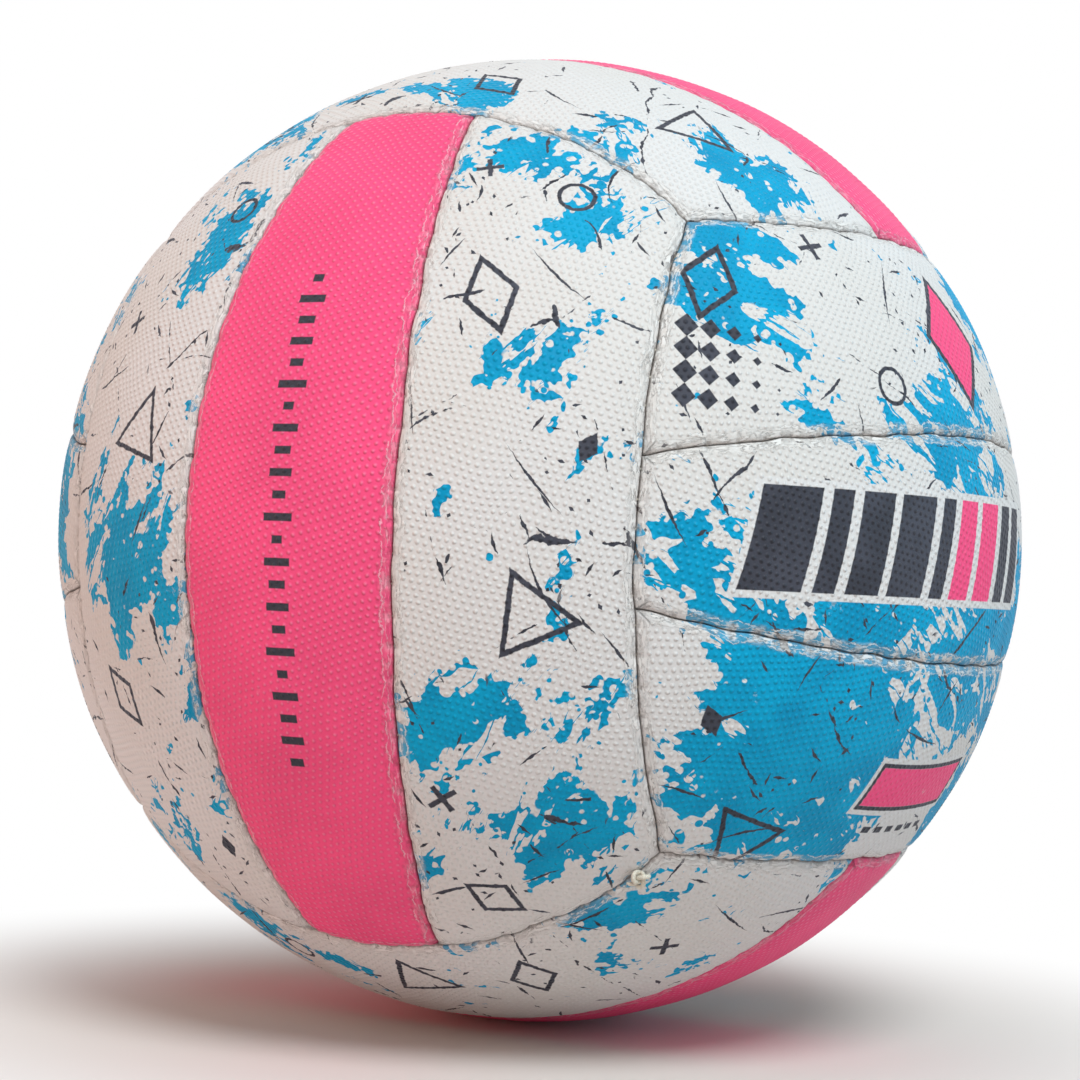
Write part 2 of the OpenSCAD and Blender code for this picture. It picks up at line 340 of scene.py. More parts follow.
    def build(self, size, has_eye):
        corners = self.corners(self.gap)
        lengths = [abs(seam.run(corners[(i + 1) % 4]) - seam.run(corners[i]))
                   for i, seam in enumerate(self.seams)]
        self.counts = [max(8, round(length / self.RING_STEP)) for length in lengths]
        skin, deep = size.skin_thickness, size.edge_depth
        thick = skin + self.gap

        # From the lining side, round the turned-in edge, to the ball's surface
        rings = [self.add(self.ring(thick + inset * MM), skin * below) for inset, below in self.INNER_RINGS]
        rings.append(self.add(self.ring(thick), deep))
        rings.append(self.add(self.ring(self.gap), deep))
        rings += [self.add(self.ring(self.gap + distance * MM)) for distance in self.OUTER_RINGS]
        for outside, within in zip(rings, rings[1:]):
            self.faces.append(closed_quads(outside, within))

        turn = np.linspace(0, 2 * math.pi, self.EYE_SIDES, endpoint=False)
        eye = np.stack([np.cos(turn), np.sin(turn)], 1)
        eye_r = size.eye_width / 2
        step = size.pimple_pitch / 2
        flat, tops = self.lattice(step, self.gap + self.OUTER_RINGS[-1] * MM + step * 0.5)
        coarse, _ = self.lattice(self.COARSE_STEP, thick + self.COARSE_CLEAR)
        holes = []
        if has_eye:
            clear = np.linalg.norm(flat, axis=1) > eye_r + self.EYE_CLEAR * MM
            flat, tops = flat[clear], tops[clear]
            lips = np.concatenate([eye * (eye_r + lip * MM) for lip in self.EYE_LIPS])
            flat, tops = np.concatenate([flat, lips]), np.concatenate([tops, np.zeros(len(lips), bool)])
            coarse = coarse[np.linalg.norm(coarse, axis=1) > eye_r + self.COARSE_STEP / 2]
            holes = [self.add(self.way(eye * eye_r)), self.add(self.way(eye * eye_r), skin * self.BACK)]
            self.faces.append(closed_quads(holes[0], holes[1]))
        grid = self.add(self.way(flat), pimples=tops)
        back = self.add(self.way(coarse), skin * self.BACK)
        for loop, fill, hole, flip in ((rings[-1], grid, 0, False), (rings[0], back, 1, True)):
            used = np.concatenate([loop, fill, holes[hole]]) if holes else np.concatenate([loop, fill])
            ways = np.concatenate(self.ways)[used]
            rim = np.arange(len(used) - len(eye), len(used)) if holes else ()
            faces = used[filled(self.flat(ways), np.arange(len(loop)), rim)]
            self.faces.append(faces[:, ::-1] if flip else faces)
        self.ways = np.concatenate(self.ways)
        self.depths = np.concatenate(self.depths)
        self.pimples = np.concatenate(self.pimples)


def soft_step(low, high, value):
    t = np.clip((value - low) / (high - low), 0, 1)
    return t * t * (3 - 2 * t)


def ripple(places, lengths, seed, waves=14):
    """Smooth random relief from -1 to 1 with wavelengths between two lengths."""
    chance = np.random.default_rng(seed)
    ways = unit(chance.normal(size=(waves, 3)))
    pace = 2 * math.pi / chance.uniform(lengths[0], lengths[1], waves)
    total = np.sin(places @ (ways * pace[:, None]).T + chance.uniform(0, 2 * math.pi, waves)).sum(1)
    return total / math.sqrt(waves)


# Waves of the hand-stitched seams, and the distances from the valve over which they set in
WAVER_WAVES, WAVER_STARTS = (6 * MM, 18 * MM), (8 * MM, 20 * MM)


def pulled(places, waver):
    """Moves points over the ball as hand stitching pulls them, alike for all pieces at a place."""
    radii = np.linalg.norm(places, axis=1, keepdims=True)
    over = places / radii * BALL_R
    sway = np.stack([ripple(over, WAVER_WAVES, seed) for seed in (21, 22, 23)], 1)
    from_valve = np.linalg.norm(over - [0.0, BALL_R, 0.0], axis=1, keepdims=True)
    return unit(over + sway * waver * soft_step(*WAVER_STARTS, from_valve)) * radii


# Depth of a plain skin's surface below the ball, and its long and short waves
PLAIN_DEPTH = 0.25 * MM
SWELL, SWELL_WAVES = 0.09 * MM, (16 * MM, 45 * MM)
WRINKLE, WRINKLE_REACH, WRINKLE_WAVES = 0.055 * MM, 1.6 * MM, (2.4 * MM, 5 * MM)
# How far a stitch's dent reaches along and from its seam
DENT_RUN, DENT_REACH = 0.85 * MM, 1.35 * MM
# Depth and reach of the hollow where three faces meet, at other corners, and where two strips end on a seam
BALL_CORNER, STRIP_CORNER, SIDE_MEETING = (0.6 * MM, 2.6 * MM), (0.45 * MM, 1.7 * MM), (0.3 * MM, 1.5 * MM)
# The pimples rise to their full height between these distances from the seam
BARE_EDGE, FULL_GRIP = 2.1 * MM, 3.8 * MM
LEAST_DEPTH = 0.02 * MM


def relief(size, shape, ways, places, seed):
    """Depth of the skin's surface below the ball, with each point's seam distance and run."""
    distances = np.array([seam.distance(ways) for seam in shape.seams])
    runs = np.array([seam.run(ways) for seam in shape.seams])
    nearest = distances.argmin(0)
    edge = np.maximum(distances.min(0) - shape.gap, 0)
    run = runs[nearest, np.arange(len(ways))]

    round_off = np.clip(1 - edge / size.shoulder_width, 0, 1)
    depth = size.shoulder_depth * (1 - np.sqrt(1 - round_off ** 2))
    depth += size.crown * np.exp(-edge / size.crown_reach)
    depth += PLAIN_DEPTH
    depth += SWELL * ripple(places, SWELL_WAVES, 7)
    depth += WRINKLE * np.exp(-edge / WRINKLE_REACH) * ripple(places, WRINKLE_WAVES, seed)
    for distance, along in zip(distances, runs):
        off = (along + size.stitch_pitch / 2) % size.stitch_pitch - size.stitch_pitch / 2
        near = np.maximum(distance - shape.gap, 0)
        depth += size.stitch_dent * np.exp(-(off / DENT_RUN) ** 2 - (near / DENT_REACH) ** 2)
    corners = shape.corners(0.0)
    for i, corner in enumerate(corners):
        sink, reach = BALL_CORNER if shape.is_side and i < 2 else STRIP_CORNER
        off = np.linalg.norm(ways - corner, axis=1) * BALL_R
        depth += sink * np.exp(-(off / reach) ** 2)
    if shape.is_side:
        half = size.middle_width / 2 / BALL_R
        sink, reach = SIDE_MEETING
        for up in (-1, 1):
            meeting = Seam((-math.sin(half), 0, up * math.cos(half)), 0.0, (1, 0, 0), 1)
            off = np.linalg.norm(ways - crossing(shape.seams[0], meeting, shape.out), axis=1) * BALL_R
            depth += sink * np.exp(-(off / reach) ** 2)
    pimples = size.pimple_height * soft_step(BARE_EDGE, FULL_GRIP, edge) * shape.pimples
    return np.maximum(depth - pimples, LEAST_DEPTH), edge, run


def mesh_object(name, places, faces):
    """A smooth mesh from points and lists of faces, linked to the scene."""
    mesh = bpy.data.meshes.new(name)
    mesh.from_pydata(places.tolist(), [], [face for group in faces for face in group.tolist()])
    mesh.update()
    mesh.polygons.foreach_set("use_smooth", [True] * len(mesh.polygons))
    piece = bpy.data.objects.new(name, mesh)
    bpy.context.scene.collection.objects.link(piece)
    return piece


def put_values(mesh, name, values):
    mesh.attributes.new(name, "FLOAT", "POINT").data.foreach_set("value", np.asarray(values, np.float32))


def put_map(mesh, name, flat):
    corner = np.zeros(len(mesh.loops), np.int32)
    mesh.loops.foreach_get("vertex_index", corner)
    mesh.uv_layers.new(name=name).data.foreach_set("uv", flat[corner].astype(np.float32).ravel())


def make_skin(size, face, strip, shapes, seed):
    """One panel's grip skin, closed all round, with its turned-in edges."""
    name, angles, names, pink_middle = face
    node = f"{name}_{names[strip + 1]}_panel"
    key = (strip != 0, node == "back_middle_panel")
    if key not in shapes:
        shapes[key] = StripShape(size, *key)
    shape = shapes[key]
    turn = turned(angles) @ np.diag([-1.0 if strip < 0 else 1.0, 1.0, 1.0])
    placed = shape.ways @ turn.T
    depth, edge, run = relief(size, shape, shape.ways, placed * BALL_R, seed)
    depth = np.where(np.isnan(shape.depths), depth, shape.depths)
    faces = [group[:, ::-1] for group in shape.faces] if strip < 0 else shape.faces
    places = pulled(placed * (BALL_R - depth)[:, None], size.seam_waver)
    skin = mesh_object(node.replace("_panel", "_skin"), places, faces)
    put_values(skin.data, "edge_mm", edge / MM)
    put_values(skin.data, "run_mm", run / MM)
    put_map(skin.data, "Grip", shape.grip(shape.flat(shape.ways)) / size.pimple_pitch)
    is_pink = pink_middle and strip == 0
    skin.data.materials.append(pink_skin() if is_pink else printed_skin(name))
    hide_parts(node)
    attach(skin, ROOT)


# Thread and knot


def tube(path, radius, sides, closed=False, up=None):
    """Points and faces of a round cord along a path, its ends rounded off if it is open."""
    path = np.asarray(path)
    ahead = np.roll(path, -1, 0) - np.roll(path, 1, 0)
    if not closed:
        ahead[0], ahead[-1] = path[1] - path[0], path[-1] - path[-2]
    ahead = unit(ahead)
    up = unit(path) if up is None else up
    across = unit(np.cross(ahead, up))
    up = np.cross(across, ahead)
    radii = np.full(len(path), radius)
    if not closed:
        steps = np.linspace(0.35, 1, 3)
        radii[:3], radii[-3:] = radius * steps, radius * steps[::-1]
    turn = np.linspace(0, 2 * math.pi, sides, endpoint=False)
    rings = (path[:, None] + radii[:, None, None] * (
        np.cos(turn)[None, :, None] * across[:, None] + np.sin(turn)[None, :, None] * up[:, None]))
    index = np.arange(len(path) * sides).reshape(len(path), sides)
    nexts = np.roll(index, -1, 0) if closed else index[1:]
    faces = [closed_quads(b, a) for a, b in zip(index, nexts)]
    if not closed:
        faces += [index[:1], index[-1:, ::-1]]
    return rings.reshape(-1, 3), faces


def joined(parts):
    """Several sets of points and faces as one."""
    places, faces, count = [], [], 0
    for points, groups in parts:
        places.append(points)
        faces += [group + count for group in groups]
        count += len(points)
    return np.concatenate(places), faces


# The thread keeps clear of a face's ends, and has a point at each step
END_CLEAR, THREAD_STEP = 1.4 * MM, 1.1 * MM
# Half length of a stitch over the seam, its lean along the seam and how far its ends dip, in millimetres
STITCH_REACH, STITCH_LEAN, STITCH_DIP = 0.7, 0.25, 0.25


def make_thread(size, face):
    """The thread along a face's four seams, and its stitches over the seams."""
    name, angles = face[0], face[1]
    plan = seams_of_face(size.middle_width, size.side_bow)
    upper = Seam(*plan["upper"], 1)
    thread_r, parts = size.thread_width / 2, []
    bridge_depth = size.crown + size.shoulder_depth + size.stitch_dent + size.thread_width
    for key in ("in_face", "long"):
        seam = Seam(*plan[key], 1)
        end = abs(seam.run(crossing(seam, upper, upper.ahead + 0.5 * seam.ahead))) - END_CLEAR
        runs = np.linspace(-end, end, int(2 * end / THREAD_STEP))
        parts.append(tube([seam.at(run, size.thread_depth) for run in runs], thread_r, 8))
        count = int(end / size.stitch_pitch - 0.5)
        for i in range(-count, count + 1):
            run = i * size.stitch_pitch
            top, side = seam.at(run, bridge_depth), seam.at(run + 1.0 * MM, bridge_depth)
            ahead, out = unit(side - top), unit(top)
            across = np.cross(ahead, out)
            bridge = np.linspace(-1, 1, 7)[:, None]
            lean = across * bridge * STITCH_REACH + ahead * bridge * STITCH_LEAN
            path = top + (lean - out * bridge ** 2 * STITCH_DIP) * MM
            parts.append(tube(path, thread_r * 0.8, 6, up=np.tile(ahead, (7, 1))))
    points, faces = joined(parts)
    both = [(points, faces), (points * [-1, 1, 1], [group[:, ::-1] for group in faces])]
    points, faces = joined(both)
    points = pulled(points @ turned(angles).T, size.seam_waver)
    thread = mesh_object(f"{name}_stitching", points, faces)
    thread.data.materials.append(waxed_thread())
    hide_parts(f"{name}_seam_thread")
    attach(thread, ROOT)


# Points round the knot's loop, and the lean and reach in millimetres of its two cut ends
LOOP_POINTS, TAILS = 90, ((1.0, 2.5), (-0.8, 2.0))


def make_knot(size):
    """The closing knot: an overhand turn of cord with two cut ends, on a seam beside a corner."""
    low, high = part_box("closing_knot")
    middle = np.array((low + high) / 2)
    out = unit(middle)
    along = unit(np.cross([0.0, 1.0, 0.0], out))
    across = np.cross(out, along)
    axes = np.stack([along, across, out])
    cord_r = size.cord_width / 2
    t = np.linspace(0, 2 * math.pi, LOOP_POINTS, endpoint=False)
    loop = np.stack([np.sin(t) + 2 * np.sin(2 * t), np.cos(t) - 2 * np.cos(2 * t), -1.1 * np.sin(3 * t)], 1)
    path = middle + (loop * cord_r * 1.05) @ axes
    parts = [tube(path, cord_r * 0.84, 12, closed=True, up=np.tile(out, (LOOP_POINTS, 1)))]
    for lean, reach in TAILS:
        s = np.linspace(0, 1, 9)[:, None]
        start = np.array([0.9 * lean, 0.2, 0.2])
        stop = np.array([reach * lean, -1.3, -0.2])
        bend = np.array([0.2 * lean, 0.5, 0.4])
        cord = start * (1 - s) + stop * s + bend * 2 * s * (1 - s)
        parts.append(tube(middle + (cord * MM) @ axes, cord_r * 0.75, 8, up=np.tile(out, (9, 1))))
    points, faces = joined(parts)
    knot = mesh_object("thread_knot", points, faces)
    knot.data.materials.append(waxed_thread())
    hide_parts("closing_knot")
    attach(knot, ROOT)


# Finishes


class Wire:
    """A socket that carries a value. Arithmetic on it adds nodes."""

    def __init__(self, finish, socket):
        self.finish, self.socket = finish, socket

    def math(self, operation, *others):
        sockets = dict(enumerate((self, *others)))
        return self.finish.node("ShaderNodeMath", {"operation": operation}, sockets)

    def __add__(self, other):
        return self.math("ADD", other)

    __radd__ = __add__

    def __sub__(self, other):
        return self.math("SUBTRACT", other)

    def __rsub__(self, other):
        return self.finish.node("ShaderNodeMath", {"operation": "SUBTRACT"}, {0: other, 1: self})

    def __mul__(self, other):
        return self.math("MULTIPLY", other)

    __rmul__ = __mul__

    def __truediv__(self, other):
        return self.math("DIVIDE", other)

    def __neg__(self):
        return self * -1.0

    def __abs__(self):
        return self.math("ABSOLUTE")

    def __mod__(self, other):
        return self.math("FLOORED_MODULO", other)

    def at_least(self, other):
        return self.math("MAXIMUM", other)

    def at_most(self, other):
        return self.math("MINIMUM", other)

    def rises(self, low, high):
        """Soft step from 0 at one value to 1 at the other."""
        settings = {"interpolation_type": "SMOOTHSTEP"}
        return self.finish.node("ShaderNodeMapRange", settings, {0: self, 1: low, 2: high})

    def vector(self, operation, *others, out=0):
        settings = {"operation": operation}
        return self.finish.node("ShaderNodeVectorMath", settings, dict(enumerate((self, *others))), out)

    def dot(self, way):
        return self.vector("DOT_PRODUCT", tuple(way), out=1)

    def scaled(self, factors):
        return self.vector("MULTIPLY", tuple(factors))

    def moved(self, *steps):
        return self.vector("ADD", steps)

    def also(self, out):
        """Another output of the same node."""
        return Wire(self.finish, self.socket.node.outputs[out])


class Finish:
    """One material and the nodes in it."""

    def __init__(self, name):
        self.material = bpy.data.materials.new(name)
        self.material.use_nodes = True
        self.nodes, self.links = self.material.node_tree.nodes, self.material.node_tree.links
        self.nodes.clear()

    def node(self, kind, settings=None, sockets=None, out=0):
        """Adds a node: its settings come first, then the values and links of its sockets."""
        made = self.nodes.new(kind)
        for name, value in (settings or {}).items():
            setattr(made, name, value)
        for name, value in (sockets or {}).items():
            socket = made.inputs[name]
            if isinstance(value, Wire):
                self.links.new(value.socket, socket)
            elif hasattr(socket.default_value, "__len__") and not hasattr(value, "__len__"):
                socket.default_value = [value] * len(socket.default_value)
            elif socket.type == "RGBA" and len(value) == 3:
                socket.default_value = (*value, 1.0)
            else:
                socket.default_value = value
        return Wire(self, made.outputs[out]) if len(made.outputs) else None

    def mix(self, factor, first, second):
        """Goes from one colour to the other."""
        settings = {"data_type": "RGBA", "clamp_factor": True}
        return self.node("ShaderNodeMix", settings, {0: factor, 6: first, 7: second}, 2)

    def noise(self, vector, scale, detail=2.0, roughness=0.5, distortion=0.0):
        """Soft noise round 0.5, with waves of 1 / scale millimetres; also its colour as output 1."""
        return self.node("ShaderNodeTexNoise", {}, {
            "Vector": vector, "Scale": scale, "Detail": detail, "Roughness": roughness,
            "Distortion": distortion})

    def cells(self, vector, scale):
        """Distance to the nearest of scattered points; also a colour of its own and its place."""
        return self.node("ShaderNodeTexVoronoi", {}, {"Vector": vector, "Scale": scale})

    def parts(self, vector):
        """The three parts of a vector."""
        first = self.node("ShaderNodeSeparateXYZ", {}, {0: vector})
        return first, first.also(1), first.also(2)

    def joined(self, x, y, z=0.0):
        return self.node("ShaderNodeCombineXYZ", {}, {0: x, 1: y, 2: z})

    def place(self):
        """Place on the object, in millimetres."""
        return self.node("ShaderNodeTexCoord", {}, {}, 3).vector("MULTIPLY", (1000.0, 1000.0, 1000.0))

    def value_of(self, name):
        return self.node("ShaderNodeAttribute", {"attribute_name": name}, {}, 2)

    def bump(self, height, distance):
        return self.node("ShaderNodeBump", {}, {"Strength": 1.0, "Distance": distance, "Height": height})

    def surface(self, **sockets):
        sockets = {name.replace("_", " "): value for name, value in sockets.items()}
        shader = self.node("ShaderNodeBsdfPrincipled", {}, sockets)
        self.node("ShaderNodeOutputMaterial", {}, {"Surface": shader})
        return self.material


def direction(azimuth, elevation):
    """Direction from the ball's middle: azimuth 0 is the front and 90 the right side, in degrees."""
    a, e = math.radians(azimuth), math.radians(elevation)
    return np.array([math.cos(e) * math.sin(a), -math.cos(e) * math.cos(a), math.sin(e)])


def local_axes(finish, place, azimuth, elevation, turn=0.0):
    """Distances in millimetres to the right of and above a point of the ball, turned by an angle."""
    out = direction(azimuth, elevation)
    right = unit(np.cross([0.0, 0.0, 1.0], out))
    up = np.cross(out, right)
    c, s = math.cos(math.radians(turn)), math.sin(math.radians(turn))
    return place.dot(c * right + s * up), place.dot(c * up - s * right)


def inside(distance, soft=0.12):
    """1 where a distance is below zero, with a soft edge."""
    return distance.rises(soft, -soft)


def box_shape(x, y, half_w, half_h):
    return (abs(x) - half_w).at_least(abs(y) - half_h)


def diamond_shape(x, y, half_w, half_h):
    edge = half_w * half_h / math.hypot(half_w, half_h)
    return (abs(x) / half_w + abs(y) / half_h - 1.0) * edge


def round_shape(x, y, radius, _=0):
    return (x * x + y * y).math("SQRT") - radius


def triangle_shape(x, y, radius, _=0):
    c, s = math.cos(math.radians(30)), math.sin(math.radians(30))
    return (abs(x) * c + y * s).at_least(-y) - radius


def cross_shape(x, y, reach, arm):
    return box_shape(x, y, reach, arm).at_most(box_shape(x, y, arm, reach))


SHAPES = {"box": box_shape, "diamond": diamond_shape, "round": round_shape,
          "triangle": triangle_shape, "cross": cross_shape}


def drawn(finish, place, kind, azimuth, elevation, turn, a, b, line):
    """Mask of a printed shape: filled where line is 0, or outlined that wide."""
    x, y = local_axes(finish, place, azimuth, elevation, turn)
    distance = SHAPES[kind](x, y, a, b)
    if line:
        distance = abs(distance) - line / 2
    return inside(distance)


# The print's shapes on each face: kind, azimuth, elevation, turn, half width, half height, line
PRINTED = {
    "front": [
        ("diamond", 21, 24, 18, 5.2, 8.5, 1.1), ("triangle", 27, -9, 25, 4.6, 0, 1.1),
        ("cross", 17.5, -29, 35, 3.4, 0.6, 0), ("round", 30.5, 37, 0, 3.6, 0, 0.9),
        ("diamond", 32, 8, -30, 2.2, 3.4, 0), ("diamond", 23.5, -42, 60, 4.2, 6.5, 1.0),
        ("cross", 18.5, 41, 10, 2.8, 0.5, 0), ("triangle", -22, 9, -15, 4.4, 0, 1.0),
        ("diamond", -28, -20, 35, 4.6, 7.2, 1.1), ("round", -19, 36, 0, 3.2, 0, 0.9),
        ("diamond", -18, -38, 0, 2.0, 3.2, 0), ("cross", -31, 22, 20, 3.0, 0.55, 0),
    ],
    "right": [
        ("diamond", 46, 27, -20, 5.6, 8.8, 1.2), ("cross", 62, 33, 15, 3.4, 0.6, 0),
        ("round", 69, 17, 0, 3.8, 0, 0.9), ("triangle", 55, -33, 40, 4.8, 0, 1.1),
        ("diamond", 47, -19, 25, 2.4, 3.6, 0), ("diamond", 112, 28, 15, 5.0, 8.0, 1.1),
        ("triangle", 121, -22, 10, 4.6, 0, 1.1), ("cross", 104, -31, 35, 3.2, 0.6, 0),
        ("round", 128, 18, 0, 3.4, 0, 0.9),
    ],
    "top": [
        ("diamond", 14, 60, 35, 5.0, 7.8, 1.1), ("triangle", 52, 51, -20, 4.6, 0, 1.1),
        ("cross", -20, 58, 20, 3.2, 0.6, 0), ("round", -38, 52, 0, 3.4, 0, 0.9),
        ("diamond", 150, 60, 10, 5.0, 8.0, 1.1), ("cross", 195, 58, 20, 3.2, 0.6, 0),
        ("triangle", 222, 52, 10, 4.4, 0, 1.1),
    ],
    "bottom": [
        ("diamond", 30, -57, 25, 4.8, 7.6, 1.1), ("triangle", 5, -60, 15, 4.4, 0, 1.1),
        ("cross", 52, -50, 10, 3.2, 0.6, 0), ("round", -24, -56, 0, 3.4, 0, 0.9),
        ("diamond", 160, -60, 10, 4.8, 7.6, 1.1), ("cross", 200, -57, 25, 3.2, 0.6, 0),
        ("triangle", 220, -50, -10, 4.4, 0, 1.1),
    ],
    "left": [
        ("diamond", -60, 28, 20, 5.2, 8.2, 1.1), ("triangle", -52, -26, -15, 4.6, 0, 1.1),
        ("round", -74, 17, 0, 3.6, 0, 0.9), ("cross", -95, 31, 30, 3.4, 0.6, 0),
        ("diamond", -112, -27, -25, 5.0, 8.0, 1.1), ("triangle", -124, 24, 15, 4.4, 0, 1.0),
        ("round", -84, -32, 0, 3.2, 0, 0.9),
    ],
    "back": [
        ("diamond", 155, 26, 15, 5.2, 8.4, 1.1), ("triangle", 152, -18, -25, 4.6, 0, 1.1),
        ("cross", 160, -38, 20, 3.4, 0.6, 0), ("round", 206, 30, 0, 3.6, 0, 0.9),
        ("diamond", 208, -12, -25, 5.0, 8.0, 1.1), ("cross", 202, -36, 35, 3.2, 0.6, 0),
        ("triangle", 200, 8, 30, 4.2, 0, 1.0),
    ],
}

# Where the cyan gathers near each face: azimuth, elevation, reach in millimetres and weight
POOLS = {
    "front": [(26, 17, 16, 0.30), (17, 2, 9, 0.26), (18, -20, 15, 0.40), (31, -33, 17, 0.38),
              (31, -8, 11, 0.28), (20, 45, 15, 0.36), (36, 34, 15, 0.34), (-24, -4, 21, 0.46),
              (-20, 30, 18, 0.42), (-26, -36, 17, 0.38)],
    "right": [(47, 33, 20, 0.42), (43, -3, 17, 0.50), (52, 21, 13, 0.32), (66, -11, 22, 0.50),
              (88, -9, 26, 0.54), (60, -25, 30, 0.60), (74, 12, 16, 0.34), (84, 11, 19, 0.40),
              (110, -24, 26, 0.42), (120, 14, 22, 0.40), (103, 30, 17, 0.36)],
    "top": [(36, 47, 16, 0.32), (8, 56, 14, 0.26), (-16, 60, 13, 0.24), (-42, 50, 16, 0.32),
            (58, 43, 14, 0.28), (160, 55, 22, 0.38), (205, 60, 20, 0.36)],
    "bottom": [(40, -42, 17, 0.32), (14, -52, 11, 0.20), (-10, -60, 12, 0.20), (-32, -48, 16, 0.32),
               (150, -55, 20, 0.36), (205, -60, 20, 0.36)],
    "left": [(-50, 4, 20, 0.40), (-72, -24, 24, 0.42), (-66, 28, 20, 0.40), (-104, 10, 24, 0.42),
             (-120, -26, 22, 0.40), (-92, -4, 16, 0.32)],
    "back": [(158, 6, 20, 0.40), (152, 38, 20, 0.40), (162, -30, 20, 0.40), (204, 18, 20, 0.40),
             (208, -28, 22, 0.40)],
}


def brushed(finish, place, face, lean, stretch):
    """Place turned to a face and drawn out along a leaning direction, for streaky noise."""
    turn = turned(next(f[1] for f in FACES if f[0] == face))
    out, right, up = turn @ (0, -1, 0), turn @ (1, 0, 0), turn @ (0, 0, 1)
    c, s = math.cos(math.radians(lean)), math.sin(math.radians(lean))
    along, across = c * up + s * right, c * right - s * up
    return finish.joined(place.dot(along / stretch), place.dot(across), place.dot(out / stretch))


def splashes(finish, place, face):
    """Mask of the ragged cyan splashes, with torn streaks, worm-like gaps and droplets."""
    broad = finish.noise(place.moved(31.0, 7.0, 55.0), 0.026, 1.0, 0.5)
    streaky = brushed(finish, place, face, 28, 2.4)
    torn = finish.noise(streaky, 0.12, 2.0, 0.5, 0.35)
    curls = finish.noise(place, 0.30, 1.0, 0.5, 0.6)
    crumbs = finish.noise(place, 0.62, 0.0, 0.5)
    field = broad * 0.85 + (torn - 0.5) * 1.15 + (curls - 0.5) * 0.40 + (crumbs - 0.5) * 0.17
    for azimuth, elevation, reach, weight in POOLS[face]:
        centre = direction(azimuth, elevation) * BALL_R / MM
        away = place.vector("DISTANCE", tuple(centre), out=1)
        field = field + away.rises(reach * 1.45, 0.0) * weight
    solid = field.rises(0.632, 0.644)
    wormy = brushed(finish, place.moved(9.0, 90.0, 40.0), face, 40, 2.1)
    worms = abs(finish.noise(wormy, 0.115, 1.5, 0.5, 0.3) - 0.5)
    worm_w = finish.noise(place, 0.06, 1.0).rises(0.44, 0.60) * field.rises(1.10, 0.78) * 0.070
    gaps = (worms - worm_w).rises(0.003, -0.003) * worm_w.rises(0.014, 0.018)
    hairy = brushed(finish, place.moved(70.0, 20.0, 10.0), face, 34, 4.5)
    hairs = abs(finish.noise(hairy, 0.24, 3.0, 0.6) - 0.5)
    wisps = (hairs - (field - 0.59).at_least(0.0) * 0.16).rises(0.004, -0.003) * field.rises(0.59, 0.60)
    spots = finish.cells(place, 0.42)
    spot_kind = finish.node("ShaderNodeSeparateColor", {}, {0: spots.also(1)})
    drop_r = (spot_kind - 0.62).at_least(0.0) * 1.05
    drops = inside(spots - drop_r * field.rises(0.50, 0.60), 0.03)
    holes = inside(finish.cells(place.moved(5.0, 3.0, 8.0), 0.31) - field.rises(0.98, 0.72) * 0.27, 0.03)
    return (solid * (1.0 - gaps) * (1.0 - holes)).at_least(drops.at_least(wisps))


def strokes(finish, place, out, scale, half_l, half_w, share, shift):
    """Mask of short tapered strokes, each in a direction of its own."""
    moved = place.moved(shift, shift * 0.7, -shift)
    point = finish.cells(moved, scale)
    chance, spot = point.also(1), point.also(2)
    way = out.vector("CROSS_PRODUCT", chance.moved(-0.5, -0.5, -0.5)).vector("NORMALIZE")
    side = out.vector("CROSS_PRODUCT", way)
    off = moved.vector("SUBTRACT", spot)
    along, across = off.vector("DOT_PRODUCT", way, out=1), off.vector("DOT_PRODUCT", side, out=1)
    kind = finish.node("ShaderNodeSeparateColor", {}, {0: chance})
    bent = across + along * along * (kind.also(1) - 0.5) * (0.5 / half_l)
    size = kind.also(2) * 0.6 + 0.4
    taper = abs(along) / size / half_l + abs(bent) / half_w - 1.0
    return inside(taper * half_w, 0.06) * kind.rises(1.0 - share, 1.0 - share + 0.01)


# Sets of long scratches: the way across them, the distance between them in millimetres and their place
SCRATCHES = [((0.9, 0.1, 0.35), 17.0, 3.0), ((0.35, 0.55, -0.8), 21.0, 41.0),
             ((-0.5, 0.7, 0.55), 19.0, 77.0), ((0.1, 0.25, 1.0), 24.0, 19.0)]


def scratches(finish, place):
    """Mask of long broken scratches, short strokes and specks."""
    mask = None
    wander = finish.noise(place, 0.02, 3.0, 0.6)
    for way, spacing, seed in SCRATCHES:
        across = place.dot(unit(np.array(way)) / spacing) + wander * 0.9 + seed
        off = abs(across % 1.0 - 0.5) * spacing
        broken = finish.noise(place.moved(seed * 9, seed * 5, seed * 7), 0.075, 4.0, 0.68)
        width = (broken - 0.555).at_least(0.0) * 4.0
        stroke = inside(off - width.at_most(0.38), 0.06) * broken.rises(0.555, 0.562)
        mask = stroke if mask is None else mask.at_least(stroke)
    out = place.vector("NORMALIZE")
    crowd = finish.noise(place.moved(44.0, 8.0, 71.0), 0.032, 2.0, 0.6)
    long_ones = strokes(finish, place, out, 0.045, 10.0, 0.34, 0.42, 12.0)
    short_ones = strokes(finish, place, out, 0.12, 2.8, 0.36, 0.40, 57.0) * crowd.rises(0.48, 0.50)
    specks = strokes(finish, place, out, 0.22, 0.9, 0.40, 0.34, 91.0) * crowd.rises(0.52, 0.54)
    return mask.at_least(long_ones).at_least(short_ones).at_least(specks)


# The row of slanted blocks on the right face: middle and half width in millimetres, and pink or not
BLOCKS = [(-43.5, 6.5, False), (-32, 2.6, False), (-22.5, 4.4, False), (-10.5, 5.4, False), (0, 2.4, False),
          (8.8, 3.8, True), (19.5, 4.4, True), (29.5, 3.0, False), (38.5, 3.6, False)]
BLOCK_HALF_H = 10.4


